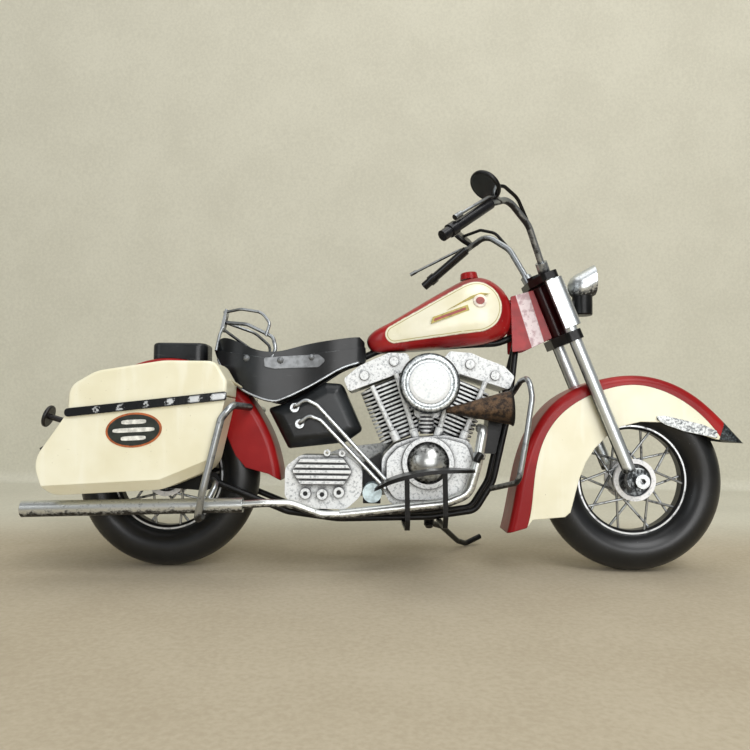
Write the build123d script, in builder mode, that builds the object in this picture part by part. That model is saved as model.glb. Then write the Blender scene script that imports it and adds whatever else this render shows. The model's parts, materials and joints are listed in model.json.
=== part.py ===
"""Wrought-tin motorcycle model: every piece in the upright bike's own frame, millimetres.

X runs forwards from the rear axle, Y to the rider's left, Z up from the wheels' contact line.
The finished pieces are leaned over together onto the side stand before they are written.
"""

import os
from math import atan2, cos, degrees, radians, sin

from build123d import *

os.makedirs("parts", exist_ok=True)

# ---- driving dimensions, mm and degrees
AXLE_GAP = 267.0
WHEEL_R = 52.0
TYRE_HALF = 11.5
RIM_R = 31.35
RIM_HALF = 4.6
HUB_R = 12.0
HUB_HALF = 9.5
SPOKE_R = 0.7
SPOKE_PAIRS = 5
RAKE = 22.0
LEG_R = 3.65
LEG_Y = 19.5
LUG_Y = 17.4
LEG_OFFSET = 2.7
SHEET = 0.9
FENDER_HALF = 15.2
RAIL_R = 1.8
RAIL_Y = 9.0
STAY_Y = 15.5
BAG_IN = 23.0
BAG_OUT = 51.0
BAG_BEVEL = 5.5
PIPE_Y = 31.0
PIPE_R = 2.7
MUFFLER_Y = 38.0
MUFFLER_R = 4.3
MUFFLER_BORE = 3.7
ENGINE_HALF = 22.0
FIN_HALF = 14.2
FIN_DEPTH = 29.6
BARREL_R = 11.2
V_ANGLE = 22.5
BAR_R = 1.9
GRIP_R = 2.9
LEAN = 4.0
MID_X = 126.12
MID_Y = 14.0
GROUND_LIFT = 0.03

AXLE_R = 2.0
FIT = 0.05
NECK = Vector(214.6, 0, 163.8)
FRONT_AXLE = Vector(AXLE_GAP, 0, WHEEL_R)
CRANK = Vector(147, 0, 48)

STAND = Vector(151.5, 13.0, 24.4)
STAND_AXIS = Vector(0.04, 0.52, 0.85).normalized()

# Fork frame: local X is ahead of the steering axis, local Z is up along it.
FORK = Plane(
    origin=NECK,
    x_dir=(cos(radians(RAKE)), 0, sin(radians(RAKE))),
    z_dir=(-sin(radians(RAKE)), 0, cos(radians(RAKE))),
)
ON_STAND = Location((-MID_X, -MID_Y, GROUND_LIFT)) * Location((0, 0, 0), (-LEAN, 0, 0))


def side(y):
    """Side-view plane at this Y: sketch X is forwards, sketch Y is up, extrude goes to the right."""
    return Plane(origin=(0, y, 0), x_dir=(1, 0, 0), z_dir=(0, -1, 0))


def wire(points, bend, radius):
    """A round rod or tube bent through the points."""
    with BuildPart() as rod:
        with BuildLine() as path:
            FilletPolyline(*points, radius=bend)
        with BuildSketch(Plane(origin=path.line @ 0, z_dir=path.line % 0)):
            Circle(radius)
        sweep()
    return rod.part


def straight(start, end, radius):
    """A straight round rod between two points."""
    start, end = Vector(*start), Vector(*end)
    along = Plane(origin=start, z_dir=end - start)
    with BuildPart() as rod:
        with BuildSketch(along):
            Circle(radius)
        extrude(amount=(end - start).length)
    return rod.part


def cross_rod(x, z, radius, y_from, y_to, hole=0.0):
    """A round rod or washer across the bike, its axis along Y."""
    with BuildPart() as rod:
        with BuildSketch(side(y_from)):
            with Locations((x, z)):
                Circle(radius)
                if hole:
                    Circle(hole, mode=Mode.SUBTRACT)
        extrude(amount=y_from - y_to)
    return rod.part


def plate(points, bend, y_from, y_to):
    """A flat plate of this side-view outline between two Y values."""
    with BuildPart() as sheet:
        with BuildSketch(side(max(y_from, y_to))):
            with BuildLine():
                FilletPolyline(*points, radius=bend, close=True)
            make_face()
        extrude(amount=abs(y_from - y_to))
    return sheet.part


def both_sides(piece):
    """The piece with its mirror image on the other side of the bike."""
    return [piece, piece.mirror(Plane.XZ)]


def radial(angle, radius, centre, y=0.0):
    """The point at this angle and radius about a wheel centre."""
    return (centre.X + radius * cos(radians(angle)), y, centre.Z + radius * sin(radians(angle)))


def save(piece, name):
    """Leans one finished node onto the stand and writes it."""
    piece.label = name
    export_step(piece.moved(ON_STAND), f"parts/{name}.step")


def save_group(solids, name):
    """Writes several separate solids as one node."""
    group = Compound(children=[s for piece in solids for s in piece.solids()])
    save(group, name)


def save_fused(pieces, name):
    """Writes pieces that are soldered or cast into one."""
    with BuildPart() as whole:
        for piece in pieces:
            add(piece)
    save(whole.part, name)


# ---- wheels
def make_wheel(centre, end):
    wheel_plane = Plane(origin=centre, x_dir=(0, 1, 0), z_dir=(1, 0, 0))
    spin = Axis(centre, (0, 1, 0))

    with BuildPart() as tyre:
        with BuildSketch(wheel_plane):
            with Locations((0, 41.3)):
                Ellipse(TYRE_HALF, WHEEL_R - 41.3)
            with Locations((0, 30.0)):
                Rectangle(30, 2 * 1.4, mode=Mode.SUBTRACT)
        revolve(axis=spin)
    save(tyre.part, f"{end}_tyre")

    lip = RIM_R - 1.2
    with BuildPart() as rim:
        with BuildSketch(wheel_plane):
            with BuildLine():
                Polyline(
                    (-RIM_HALF, RIM_R), (-RIM_HALF, lip), (-3.2, 29.0), (3.2, 29.0), (RIM_HALF, lip),
                    (RIM_HALF, RIM_R), (RIM_HALF - 0.9, RIM_R), (2.8, 30.5), (-2.8, 30.5),
                    (-RIM_HALF + 0.9, RIM_R), close=True,
                )
            make_face()
        revolve(axis=spin)
    save(rim.part, f"{end}_rim")

    with BuildPart() as hub:
        with BuildSketch(wheel_plane):
            with BuildLine():
                Polyline(
                    (-HUB_HALF, HUB_R), (-HUB_HALF + 2.2, HUB_R), (-6.6, 10.4), (-4.6, 10.4), (-3.2, 6.0),
                    (3.2, 6.0), (4.6, 10.4), (6.6, 10.4), (HUB_HALF - 2.2, HUB_R), (HUB_HALF, HUB_R),
                    (HUB_HALF, 9.4), (HUB_HALF - 2.0, 8.8), (HUB_HALF - 2.0, AXLE_R + FIT),
                    (-HUB_HALF + 2.0, AXLE_R + FIT), (-HUB_HALF + 2.0, 8.8), (-HUB_HALF, 9.4), close=True,
                )
            make_face()
        revolve(axis=spin)
    save(hub.part, f"{end}_hub")

    spokes = []
    for hand in (-1, 1):
        for number in range(SPOKE_PAIRS):
            for lead in (-1, 1):
                at_rim = 360 / SPOKE_PAIRS * (number + 0.25 * hand) + 14 * lead
                hub_y, rim_y = (6.0, 2.9) if lead > 0 else (4.7, 1.0)
                spokes.append(
                    straight(
                        radial(at_rim + 68 * lead, 9.4, centre, hand * hub_y),
                        radial(at_rim, 29.6, centre, hand * rim_y),
                        SPOKE_R,
                    )
                )
    save_group(spokes, f"{end}_spokes")


make_wheel(Vector(0, 0, WHEEL_R), "rear")
make_wheel(FRONT_AXLE, "front")


def make_axle(centre, reach):
    """A through bolt with a ring nut and a socket on each end."""
    rod = cross_rod(centre.X, centre.Z, AXLE_R, reach, -reach)
    nuts = []
    for hand in (-1, 1):
        with BuildPart() as nut:
            with BuildSketch(side(hand * reach)):
                with Locations((centre.X, centre.Z)):
                    Circle(4.0)
                    RegularPolygon(1.7, 6, mode=Mode.SUBTRACT)
            extrude(amount=-2.6 * hand)
        nuts.append(nut.part)
    return [rod, *nuts]


# ---- frame tubes
rail_path = [
    (201, -1.5, 131), (197.5, -RAIL_Y, 112), (194, -RAIL_Y, 85), (186, -RAIL_Y, 50), (176, -RAIL_Y, 34),
    (150, -RAIL_Y, 30), (98, -RAIL_Y, 28.5), (70, -STAY_Y, 33), (28, -STAY_Y, 49.5),
]
cradle = wire(rail_path, [8, 30, 20, 8, 20, 20, 12], RAIL_R)
backbone = wire(
    [(218, 0, 143), (206, 0, 137), (190, 0, 130.5), (122, 0, 126.4), (100, 0, 115.5), (64, 0, 108),
     (44.5, 0, 99.5)],
    [12, 20, 30, 20, 20], 2.0,
)
axle_lug = plate([(34, 47), (30, 54), (-4, 58), (-6, 46), (24, 44)], 2.5, -STAY_Y + 1.2, -STAY_Y - 1.2)
front_plate = plate([(184.8, 93), (192.5, 93), (189.5, 66), (181, 66)], 1.0, -8.5, 8.5)
rear_plate = plate([(112.1, 37), (112.1, 60), (122.2, 66), (122.2, 37)], 0.5, -7.8, 8)
cross_tube = cross_rod(124, 29.3, RAIL_R, RAIL_Y, -RAIL_Y)
front_cross = cross_rod(190.2, 68, RAIL_R, RAIL_Y, -RAIL_Y)
pivot_lug = straight(STAND + STAND_AXIS * 4.5, STAND + STAND_AXIS * 2.0, 2.4)
pivot_pin = straight(STAND + STAND_AXIS * 3.0, STAND - STAND_AXIS * 3.0, 1.2)
pin_head = straight(STAND - STAND_AXIS * 1.9, STAND - STAND_AXIS * 3.2, 2.2)
save_fused(
    [backbone, front_plate, rear_plate, cross_tube, front_cross, pivot_lug, pivot_pin, pin_head]
    + both_sides(cradle) + both_sides(axle_lug),
    "frame",
)

with BuildPart() as neck:
    with BuildSketch(FORK.offset(-31)):
        Circle(7.0)
        Circle(3.0 + FIT, mode=Mode.SUBTRACT)
    extrude(amount=31)

neck_sheet = plate(
    [(196.5, 157), (209.6, 160.9), (220.5, 133.0), (206, 126), (197.5, 124.6)], 0.8, -7.3, -8.2
)
save_group([neck.part, *both_sides(neck_sheet)], "steering_neck")

# ---- tank
tank_outline = [
    (114.0, 131), (138, 148), (161, 162.5), (173, 169), (188, 168), (198.5, 154), (198.5, 141), (189, 131),
    (161, 125.8), (120, 123.2),
]
with BuildPart() as tank:
    with BuildSketch(side(17)):
        with BuildLine():
            FilletPolyline(*tank_outline, radius=[5, 60, 60, 14, 12, 12, 12, 14, 60, 5], close=True)
        make_face()
    extrude(amount=34)
    with BuildSketch(Plane.XY.offset(115)):
        with BuildLine():
            Spline((113, 0), (122, -10.5), (150, -15.6), (176, -17), (192, -14), (199, 0))
            Spline((113, 0), (122, 10.5), (150, 15.6), (176, 17), (192, 14), (199, 0))
        make_face()
    extrude(amount=60, mode=Mode.INTERSECT)
    with BuildSketch(Plane.YZ.offset(105)):
        with Locations((0, 122)):
            Rectangle(7, 24)
    extrude(amount=96, mode=Mode.SUBTRACT)
save(tank.part, "fuel_tank")

with BuildPart() as cap:
    with BuildSketch(Plane(origin=(173.5, 0, 168.2), x_dir=(1, 0, 0.12), z_dir=(-0.12, 0, 1))):
        Circle(5.4)
    extrude(amount=4.2, taper=9)
    fillet(cap.edges().group_by(Axis.Z)[-1], 0.8)
    with BuildSketch(Plane.XY.offset(160)):
        with Locations((173.5, 0)):
            Rectangle(9, 7.2)
    extrude(amount=8, mode=Mode.SUBTRACT)
save(cap.part, "filler_cap")

# ---- seat
seat_band = [
    (25, 123.5), (28, 118), (32.5, 111.5), (42.5, 101.5), (54, 96), (61.3, 94), (68, 96.2), (82, 103.6),
    (98.5, 114), (113, 118.5), (112.5, 127), (60, 118),
]
seat_top = [(24.5, 123.8), (29, 130), (40, 128), (52, 123), (62, 122.3), (76, 126), (94, 130.5), (109, 132.5)]


def seat_plan(grow, height):
    with BuildSketch(Plane.XY.offset(height)) as plan:
        with BuildLine():
            Spline(
                (24.5 - grow, 0), (29 - grow, -13 - grow), (42, -20.5 - grow), (60, -21 - grow),
                (82, -15 - grow), (100, -9 - grow), (110, -7 - grow), (113 + grow, 0),
            )
            Spline(
                (24.5 - grow, 0), (29 - grow, 13 + grow), (42, 20.5 + grow), (60, 21 + grow),
                (82, 15 + grow), (100, 9 + grow), (110, 7 + grow), (113 + grow, 0),
            )
        make_face()
    return plan.sketch


with BuildPart() as skirt:
    add(seat_plan(0, 90))
    extrude(amount=45)
    add(seat_plan(-SHEET, 90))
    extrude(amount=45, mode=Mode.SUBTRACT)
    with BuildSketch(side(30)):
        with BuildLine():
            FilletPolyline(*seat_band, radius=[0.5, 3, 20, 16, 6, 5, 6, 30, 30, 2, 0.5, 20], close=True)
        make_face()
    extrude(amount=60, mode=Mode.INTERSECT)
save(skirt.part, "seat_skirt")

with BuildPart() as pad:
    add(seat_plan(-SHEET - 0.15, 110))
    extrude(amount=25)
    with BuildSketch(side(30)):
        with BuildLine():
            Spline(*seat_top)
            Polyline(seat_top[-1], (112.8, 129), (112.8, 124.5))
            Spline((112.8, 124.5), (90, 121.5), (62, 115.5), (40, 117.5), seat_top[0])
        make_face()
    extrude(amount=60, mode=Mode.INTERSECT)
save(pad.part, "seat_pad")


with BuildPart() as strap:
    add(seat_plan(SHEET, 105))
    extrude(amount=25)
    add(seat_plan(0, 105))
    extrude(amount=25, mode=Mode.SUBTRACT)
    with BuildSketch(side(30)):
        with BuildLine():
            FilletPolyline(
                (56, 118.5), (86, 121.4), (90, 118.4), (86, 114.2), (62, 112.4), (56.5, 113.5),
                radius=[1, 2, 1.5, 2, 4, 1], close=True,
            )
        make_face()
    extrude(amount=60, mode=Mode.INTERSECT)
studs = []
for stud_x, stud_y, stud_z in ((46.2, 21.2, 118.2), (65.0, 21.0, 117.2), (82.0, 15.6, 119.6)):
    with BuildPart() as stud:
        with Locations((stud_x, -stud_y, stud_z)):
            Sphere(1.8)
    studs += both_sides(stud.part)
save_fused([strap.part, *studs], "seat_straps")

rail_wires = [
    wire([(29, -1, 147), (40, -8, 148), (53, -13, 145.5), (58, -15, 139), (56, -16, 131.5)], [12, 10, 4], 0.9),
    wire([(30, -1, 141), (44, -9, 139), (60, -16, 131), (62, -18, 124), (58.5, -20, 115)], [14, 5, 6], 1.1),
    wire([(30, 1, 141), (46, 8, 136), (54, 14, 129), (54, 17, 121)], [14, 5], 0.9),
    wire([(28.5, 0, 137), (36, 6, 131.5), (46, 14, 124.5)], [10], 0.9),
    wire([(29, -1, 139.5), (27.5, -6, 133), (27, -12, 123)], [6], 0.9),
]
back_strip = plate([(29.8, 149), (31.2, 148.6), (29.0, 135.4), (26.9, 135.8)], 0.5, -3.2, 3.2)
save_fused([*rail_wires, back_strip], "seat_rail")

# ---- mudguards
def mudguard(outside, hollow, half, corner):
    """A folded sheet mudguard, open underneath, from the side views of its outside and its hollow."""
    solids = []
    for outline, reach, rounding in ((outside, half, corner), (hollow, half - SHEET, corner - SHEET)):
        with BuildPart() as block:
            with BuildSketch(side(reach)):
                make_face(outline.edges())
            extrude(amount=2 * reach)
            crown_rims = block.edges().filter_by(
                lambda e: e.length > 40 and e.center().Z > 40 and abs(e.center().Y) > reach - 0.1
            )
            fillet(crown_rims, rounding)
        solids.append(block.part)
    return solids[0] - solids[1]


front_crown = [
    (193.5, 21.8), (197.5, 40), (201.5, 59.5), (209.5, 81), (220, 95.2), (235.5, 105), (253, 110.4),
    (271, 111.4), (287, 107.6), (300.5, 100.4), (316, 86.6), (328, 73.6),
]
front_lower = [
    (311, 75.8), (281, 85.0), (268.5, 85.2), (257.5, 82.4), (249, 76.5), (242.5, 69.8), (237.2, 61.5),
    (233.3, 51.5), (230.4, 40.6), (228.6, 34), (225.5, 31.4), (207.5, 29.6), (204, 25),
]
seam = [
    (200, 16), (206.8, 36.1), (208.5, 51.7), (211.2, 66.2), (215.3, 77.1), (223.8, 88.8), (240.5, 100),
    (253, 104.4), (266.2, 106), (282, 102.6), (299.5, 92.4), (311.0, 80.6), (319, 67),
]
to_axle = [(Vector(FRONT_AXLE.X, FRONT_AXLE.Z) - Vector(*p)).normalized() * SHEET for p in front_crown]
front_inner = [Vector(*p) + step for p, step in zip(front_crown, to_axle)]
with BuildLine() as front_outside:
    Spline(*front_crown)
    Polyline(front_crown[-1], *front_lower, front_crown[0])
with BuildLine() as front_hollow:
    Spline(*front_inner)
    Polyline(front_inner[-1], (front_inner[-1].X, -60), (front_inner[0].X, -60), front_inner[0])
front_mudguard = mudguard(front_outside.line, front_hollow.line, FENDER_HALF, 4.0)
with BuildPart() as side_region:
    with BuildSketch(side(30)):
        with BuildLine():
            Spline(*seam)
            Polyline(seam[-1], seam[0])
        make_face()
    extrude(amount=60)
with BuildPart() as tip_region:
    with BuildSketch(side(30)):
        with BuildLine():
            Polyline((318.6, 92), (311.6, 72), (345, 60), (345, 92), close=True)
        make_face()
    extrude(amount=60)
save(front_mudguard - side_region.part - tip_region.part, "front_fender_crown")
fender_panels = (front_mudguard & side_region.part) - tip_region.part
save_group(fender_panels.solids(), "front_fender_sides")
trim_strip = plate(
    [(277.2, 88.4), (281.5, 88.9), (303, 84.1), (311.2, 80.4), (311.4, 76.4), (292.5, 80.2), (282.5, 83.6),
     (278.2, 86.2)],
    0.7, -FENDER_HALF, -FENDER_HALF - 1.2,
)
save_group([front_mudguard & tip_region.part, *both_sides(trim_strip)], "fender_trims")

rear_lower = [
    (-52, 51), (-47, 66), (-36, 82), (-20, 92.5), (0, 96), (20, 91), (33.5, 78), (40, 63.9), (46, 57),
    (59, 53.5),
]


def crown_arcs(stations, inset):
    """Tangent arcs down from the crown's top through the stations, this far inside the outer face."""
    here, normal = Vector(0, 118.6), Vector(0, 1)
    arcs = []
    for station in stations:
        step = Vector(*station) - here
        radius = -step.dot(step) / (2 * step.dot(normal))
        centre = here - normal * radius
        after = (Vector(*station) - centre) / radius
        start = degrees(atan2(normal.Y, normal.X))
        sweep = degrees(atan2(after.Y, after.X)) - start
        arcs.append(CenterArc(centre, radius - inset, start, sweep))
        here, normal = Vector(*station), after
    return arcs


crown_ahead = [(43.5, 99.6), (65.6, 49.8)]
crown_behind = [(-37, 101.4), (-58.5, 51)]
with BuildLine() as rear_outside:
    ahead_arcs = crown_arcs(crown_ahead, 0)
    behind_arcs = crown_arcs(crown_behind, 0)
    Polyline(behind_arcs[1] @ 1, *rear_lower, ahead_arcs[1] @ 1)
with BuildLine() as rear_hollow:
    ahead_arcs = crown_arcs(crown_ahead, SHEET)
    behind_arcs = crown_arcs(crown_behind, SHEET)
    Polyline(*(arcs[1] @ 1 + arcs[1] % 1 * down for arcs, down in
               ((behind_arcs, 0), (behind_arcs, 100), (ahead_arcs, 100), (ahead_arcs, 0))))
save(mudguard(rear_outside.line, rear_hollow.line, FENDER_HALF, 4.0), "rear_fender")

with BuildPart() as luggage_pad:
    with BuildSketch(Plane.XY.offset(110)):
        with Locations((5.2, 0)):
            RectangleRounded(31.5, 22, 6)
    extrude(amount=17.8)
    fillet(luggage_pad.faces().sort_by(Axis.Z)[-1].edges(), 2.0)
    with BuildSketch(side(30)):
        with Locations((0, WHEEL_R)):
            Circle(66.75)
    extrude(amount=60, mode=Mode.SUBTRACT)
save(luggage_pad.part, "luggage_pad")

# ---- saddlebags
bag_body = [(-41, 85.6), (-57.5, 61), (-51, 43), (8, 46.8), (33, 57.5), (41, 95.4)]
bag_lid = [(-41, 86.2), (-40.6, 100), (-27, 108.2), (8, 114), (35, 114), (41.3, 103.5), (41, 96.0)]
with BuildPart() as bag:
    with BuildSketch(side(-BAG_IN)):
        with BuildLine():
            FilletPolyline(*bag_body, radius=[0.4, 14, 9, 20, 14, 0.4], close=True)
        make_face()
    extrude(amount=BAG_OUT - BAG_IN)
    for low, high in (((-51, 43), (8, 46.8)), ((8, 46.8), (33, 57.5))):
        along = Vector(high[0] - low[0], 0, high[1] - low[1]).normalized()
        across = Vector(0, BAG_BEVEL, -BAG_BEVEL).normalized()
        bevel = Plane(
            origin=(low[0], -BAG_OUT + BAG_BEVEL, low[1]), x_dir=along, z_dir=along.cross(across)
        )
        split(bisect_by=bevel, keep=Keep.TOP if bevel.z_dir.Z > 0 else Keep.BOTTOM)
with BuildPart() as lid:
    with BuildSketch(side(-BAG_IN)):
        with BuildLine():
            FilletPolyline(*bag_lid, radius=[0.4, 9, 20, 40, 7, 5, 0.4], close=True)
        make_face()
    extrude(amount=BAG_OUT - BAG_IN)
    lid_rim = lid.faces().sort_by(Axis.Y)[0].edges().filter_by(lambda e: e.center().Z > 99)
    fillet(lid_rim, 1.6)
with BuildPart() as bag_strip:
    with BuildSketch(side(-BAG_OUT)):
        with BuildLine():
            FilletPolyline((-42, 88.2), (41.4, 98.1), (41.4, 93.6), (-41.6, 83.9), radius=[2, 1, 1, 2],
                close=True)
        make_face()
    extrude(amount=1.3)
save_group(both_sides(bag.part), "saddlebags")
save_group(both_sides(lid.part), "saddlebag_lids")
save_group(both_sides(bag_strip.part), "saddlebag_trims")

guard = wire(
    [(47.5, -15.2, 91), (45, -54.4, 91), (39.5, -54.2, 84), (30.8, -54, 46), (27.4, -49, 31.9), (27, -37,
     31.9)],
    [5, 6, 20, 6], 1.9,
)
hanger = wire([(28, -16.5, 50), (33.5, -33, 49), (29.5, -36, 40)], [5], 1.6)
save_group([*both_sides(guard), hanger], "bag_guards")

# ---- tail lamp and reflectors
with BuildPart() as lamp:
    with BuildSketch(Plane(origin=(-52.5, 0, 75.5), x_dir=(0, 1, 0), z_dir=(-0.90, 0, -0.44))):
        RectangleRounded(11, 8, 2.5)
    extrude(amount=25, taper=5)
REFLECTOR = Vector(-71.6, 0, 84.4)
reflector_axis = Vector(-0.95, 0, 0.31)
with BuildPart() as reflector:
    with BuildSketch(Plane(origin=REFLECTOR, z_dir=reflector_axis)):
        Circle(6.6)
    extrude(amount=2.2)
    fillet(reflector.edges(), 0.9)
reflector_stem = straight((-48, 0, 77.5), REFLECTOR + reflector_axis * 0.5, 1.7)
save_fused([lamp.part, reflector.part, reflector_stem], "tail_lamps")


# ---- muffler and exhaust
tail_axis = Plane(origin=(0, -MUFFLER_Y, 37.1), x_dir=(1, 0, 0.029), z_dir=(0, -1, 0))
with BuildPart() as muffler:
    with BuildSketch(tail_axis):
        with BuildLine():
            Polyline(
                (-67.8, MUFFLER_BORE), (-67.8, MUFFLER_R), (49, MUFFLER_R - 0.4), (49, PIPE_R - 0.6),
                (44, PIPE_R - 0.6), (44, 0), (-40, 0), (-40, MUFFLER_BORE), close=True,
            )
        make_face()
    revolve(axis=Axis((0, -MUFFLER_Y, 37.1), (1, 0, 0.029)))
save(muffler.part, "muffler")

thin_pipe = wire(
    [(44.2, -MUFFLER_Y, 38.4), (60, -MUFFLER_Y, 39.6), (74, -36, 39.4), (90, -33, 33.4), (101, -PIPE_Y, 33.3)],
    [20, 14, 14], PIPE_R - 0.6,
)
main_pipe = wire(
    [(100, -PIPE_Y, 33.3), (156, -PIPE_Y, 39.6), (169.5, -PIPE_Y, 45.2), (174.3, -PIPE_Y, 62),
     (177.3, -PIPE_Y, 79.5), (178.2, -13.5, 80.5)],
    [14, 10, 16, 5], PIPE_R,
)
save_fused([thin_pipe, main_pipe], "exhaust_pipe")

# ---- oil tank and its lines
with BuildPart() as oil_tank:
    with BuildSketch(side(17.5)):
        with BuildLine():
            FilletPolyline(
                (57.5, 90.5), (69.5, 67.8), (101.8, 71.6), (111.5, 78.5), (99.5, 105), (90, 105.5), (79, 99.5),
                (67.5, 93.6), radius=[1.5, 2, 4, 3, 3, 3, 6, 6], close=True,
            )
        make_face()
    extrude(amount=35)
    front_rims = oil_tank.edges().filter_by(GeomType.LINE).filter_by(
        lambda e: abs(e.center().Y) > 17.4 and 103 < e.center().X < 108 and 85 < e.center().Z < 98
    )
    fillet(front_rims, 7)
save(oil_tank.part, "oil_tank")

oil_lines = []
for line_points, radii in (
    ([(73.5, -17.5, 90.8), (74, -22.6, 91.5), (80, -24.2, 95.2), (86.5, -24.4, 92), (124.6, -25.2,
     51.8)], [1.6, 4, 6]),
    ([(76.5, -17.5, 81.8), (77, -22.6, 82.6), (82, -24.0, 86.4), (88.5, -24.2, 83.8), (124.6, -24.6,
     46.8)], [1.6, 3.5, 6]),
):
    oil_lines.append(wire(line_points, radii, 1.15))
    first = line_points[0]
    oil_lines.append(cross_rod(first[0], first[2], 2.6, -17.5, -20.8))
save_fused(oil_lines, "oil_lines")

# ---- gearbox
gearbox_outline = [(69, 41), (69, 58), (77, 64.4), (103, 64.4), (111.8, 58), (111.8, 43), (103, 35.0),
    (79, 35.4)]
gearbox_body = plate(gearbox_outline, [5, 6, 4, 6, 7, 9, 7, 6], -ENGINE_HALF, 8)
save(gearbox_body, "gearbox_case")
cover_outline = [(73.2, 56), (78, 63.2), (101, 63.2), (106, 56), (101.5, 48.6), (78, 48.6)]
cover_base = plate(cover_outline, 2.0, -ENGINE_HALF, -ENGINE_HALF - 1.2)
cover_blank = plate(cover_outline, 2.0, -ENGINE_HALF - 1.2, -ENGINE_HALF - 2.7)
with BuildPart() as ribs:
    with BuildSketch(side(-ENGINE_HALF)):
        for rib in range(5):
            with Locations((90, 49.8 + 2.95 * rib)):
                SlotOverall(40, 1.7)
    extrude(amount=5)
save_fused([cover_base, cover_blank & ribs.part], "gearbox_cover")

bolts = []
for bolt_x, bolt_z in ((80.6, 43.6), (89.8, 43.2), (99.0, 44.4)):
    bolts.append(cross_rod(bolt_x, bolt_z, 2.9, -ENGINE_HALF, -ENGINE_HALF - 2.2, hole=1.3))
for bolt_x, bolt_z in ((92.2, 66.0), (100.6, 65.8)):
    bolts.append(cross_rod(bolt_x, bolt_z, 1.9, -ENGINE_HALF + 3.0, -ENGINE_HALF - 1.4, hole=0.8))
gear_cap = cross_rod(117.4, 44.2, 5.4, -8, -ENGINE_HALF - 0.4)
save(gear_cap, "starter_cap")

# ---- engine
case_outline = [(122.5, 47), (122.5, 64), (130, 71.5), (140, 75), (158, 76.4), (171, 73.5), (175.5, 62),
    (172, 44),
                (160, 37.6), (128, 37.6)]
crankcase = plate(case_outline, [6, 8, 6, 12, 12, 6, 16, 10, 8, 6], -ENGINE_HALF, ENGINE_HALF)
save(crankcase, "crankcase")
cover_plate = plate(
    [(125.2, 48), (125.2, 62.5), (131, 69), (141, 73.4), (157, 74.6), (169, 71.5), (173.0, 61), (169.8, 46),
     (160, 41), (130, 41)],
    [6, 7, 6, 12, 10, 6, 14, 9, 8, 6], -ENGINE_HALF, -ENGINE_HALF - 3.4,
)
cover_ring = cross_rod(147.8, 61.2, 14.1, -ENGINE_HALF - 3.4, -ENGINE_HALF - 5.2, hole=11.6)
save_fused([cover_plate, cover_ring], "cam_cover")
with BuildPart() as timing_dome:
    with Locations((147.8, -ENGINE_HALF - 3.4 + 7.2, 61.2)):
        Sphere(13.4)
    split(bisect_by=Plane(origin=(0, -ENGINE_HALF - 3.4, 0), z_dir=(0, -1, 0)), keep=Keep.TOP)
save(timing_dome.part, "timing_dome")


def make_cylinder(lean):
    """A finned barrel leaning by this many degrees from upright, trimmed where the two would meet."""
    up = (sin(radians(lean)), 0, cos(radians(lean)))
    base = Plane(origin=CRANK, x_dir=(up[2], 0, -up[0]), z_dir=up)
    with BuildPart() as barrel:
        with BuildSketch(base.offset(29)):
            Circle(BARREL_R)
        extrude(amount=34)
        for fin in range(14):
            with BuildSketch(base.offset(30.2 + 2.35 * fin)):
                RectangleRounded(2 * FIN_HALF, FIN_DEPTH, 6)
            extrude(amount=1.15)
        split(bisect_by=Plane.YZ.offset(CRANK.X + (0.2 if lean > 0 else -0.2)),
              keep=Keep.TOP if lean > 0 else Keep.BOTTOM)
    return barrel.part


barrels = [make_cylinder(-V_ANGLE) - crankcase, make_cylinder(V_ANGLE) - crankcase]
save_group(barrels, "cylinders")

rocker_rear = plate(
    [(100.5, 107.5), (109, 114.8), (117, 118.6), (126, 122.6), (137, 122.4), (138, 116.5), (134.5,
     112.0), (103.5, 100.2)],
    [2, 1.5, 1.5, 2, 3, 2, 1, 2], -17, 17,
)
rocker_front = plate(
    [(156.6, 119.5), (160.5, 123.8), (172.5, 123.0), (178.5, 120.4), (191, 115.9), (197.2, 109.8), (194, 102.4),
     (162.5, 112.2)],
    [2, 1.5, 1.5, 1.5, 1, 2, 2, 2], -17, 17,
)
save_group([rocker_rear, rocker_front], "rocker_boxes")
for bolt_x, bolt_z in ((112.2, 109.4), (128.8, 117.6), (171.9, 116.4), (186.0, 110.2)):
    for bolt in both_sides(cross_rod(bolt_x, bolt_z, 2.5, -17, -18.3)):
        bolts.append(bolt)
save_group(bolts, "case_bolts")

pushrods = []
for foot, head in (((130.5, 74.0), (116.5, 103.5)), ((141.2, 75.0), (130.0, 110.6)),
                   ((153.4, 75.8), (164.5, 111.6)), ((167.4, 74.0), (180.2, 106.4))):
    pushrods.append(straight((foot[0], -18.8, foot[1]), (head[0], -18.8, head[1]), 1.4))
    slope = Vector(head[0] - foot[0], 0, head[1] - foot[1]).normalized()
    tappet = Vector(foot[0], -18.8, foot[1])
    pushrods.append(straight(tappet - slope, tappet + slope * 5, 2.3))
save_fused(pushrods, "pushrod_tubes")

with BuildPart() as carburettor:
    with BuildSketch(side(-9)):
        with Locations((148, 92)):
            RectangleRounded(15, 12, 3)
    extrude(amount=7)
    with BuildSketch(side(-16)):
        with Locations((148, 98)):
            Circle(6.5)
    extrude(amount=11.2)
    with BuildSketch(Plane.XY.offset(77)):
        with Locations((147.4, -13.5)):
            Circle(3.4)
    extrude(amount=14)
    for coil in range(5):
        with BuildSketch(Plane.XY.offset(78.2 + 2.2 * coil)):
            with Locations((147.4, -13.5)):
                Circle(4.6)
        extrude(amount=1.1)
save_group([carburettor.part - barrels[0] - barrels[1]], "carburettor")

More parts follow.
